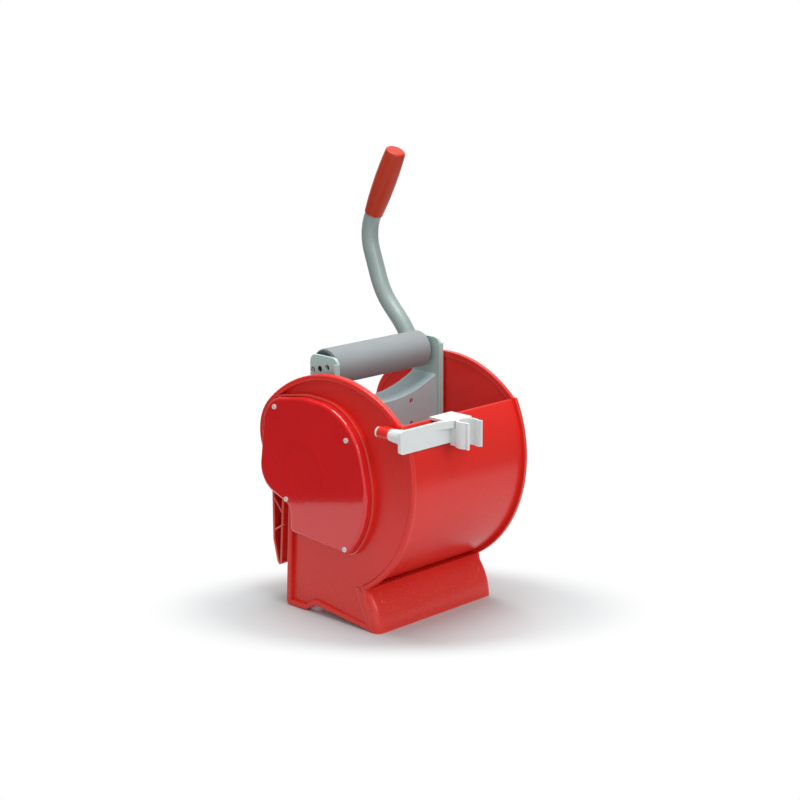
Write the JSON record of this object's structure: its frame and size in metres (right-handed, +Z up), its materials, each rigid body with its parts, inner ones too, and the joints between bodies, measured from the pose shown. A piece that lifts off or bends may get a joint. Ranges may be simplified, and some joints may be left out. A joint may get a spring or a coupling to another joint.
{
  "type": "roller mop wringer",
  "caption": "Standing mop wringer: a side lever swings a roller carriage round the inside of a moulded drum to squeeze a mop, with a bucket hook behind and a handle clip in front.",
  "frame": {"origin": "middle of the front skirt's lower edge, where the wringer stands on the floor", "axes": "+X to the lever side, +Y to the bucket hook at the rear, +Z up"},
  "size_m": [0.2927, 0.3785, 0.6185],
  "materials": {
    "drum_red": "satin moulded red plastic",
    "cover_red": "polished deep red plastic",
    "arm_steel": "plated sheet steel",
    "channel_steel": "plated sheet steel",
    "plated_steel": "plated bar and tube",
    "lever_grey": "grey-green coated steel",
    "bright_fasteners": "bright plated steel",
    "roller_grey": "matte grey rubber",
    "plug_grey": "dark grey-green plastic",
    "grip_red": "smooth red-orange plastic",
    "clip_white": "white plastic",
    "bush_nylon": "natural nylon",
    "stop_rubber": "black rubber"
  },
  "bodies": {
    "frame": {"body": "drum_red", "cover": "cover_red", "cover_screws": "bright_fasteners", "shaft_bushes": "bush_nylon", "stop_bumpers": "stop_rubber"},
    "carriage": {"main_shaft": "plated_steel", "arm_left": "arm_steel", "arm_right": "arm_steel", "arm_collars": "plated_steel", "collar_pins": "bright_fasteners", "press_channel": "channel_steel", "channel_bolts": "bright_fasteners", "channel_nuts": "bright_fasteners", "roller_axle": "plated_steel", "axle_screws": "bright_fasteners", "lever_hub": "lever_grey", "lever_tube": "lever_grey", "hub_bolt": "bright_fasteners", "lever_grip": "grip_red", "hub_washer": "bright_fasteners", "hub_screw": "bright_fasteners", "stop_arm": "plated_steel", "stop_circlip": "bright_fasteners"},
    "roller": {"roller_sleeve": "roller_grey", "roller_tube": "plated_steel", "roller_plugs": "plug_grey"},
    "clip": {"clip_arm": "clip_white", "clip_pin": "clip_white"}
  },
  "joints": [
    {"name": "carriage_swing", "type": "hinge", "parent": "frame", "child": "carriage", "pos_m": [0, 0.113, 0.213], "axis": [1, 0, 0], "range_deg": [0, 105]},
    {"name": "roller_spin", "type": "hinge", "parent": "carriage", "child": "roller", "pos_m": [0, 0.1207, 0.3436], "axis": [1, 0, 0], "continuous": true},
    {"name": "clip_swing", "type": "hinge", "parent": "frame", "child": "clip", "pos_m": [-0.124, -0.0536, 0.2855], "axis": [0, -1, 0], "range_deg": [0, 110]}
  ]
}
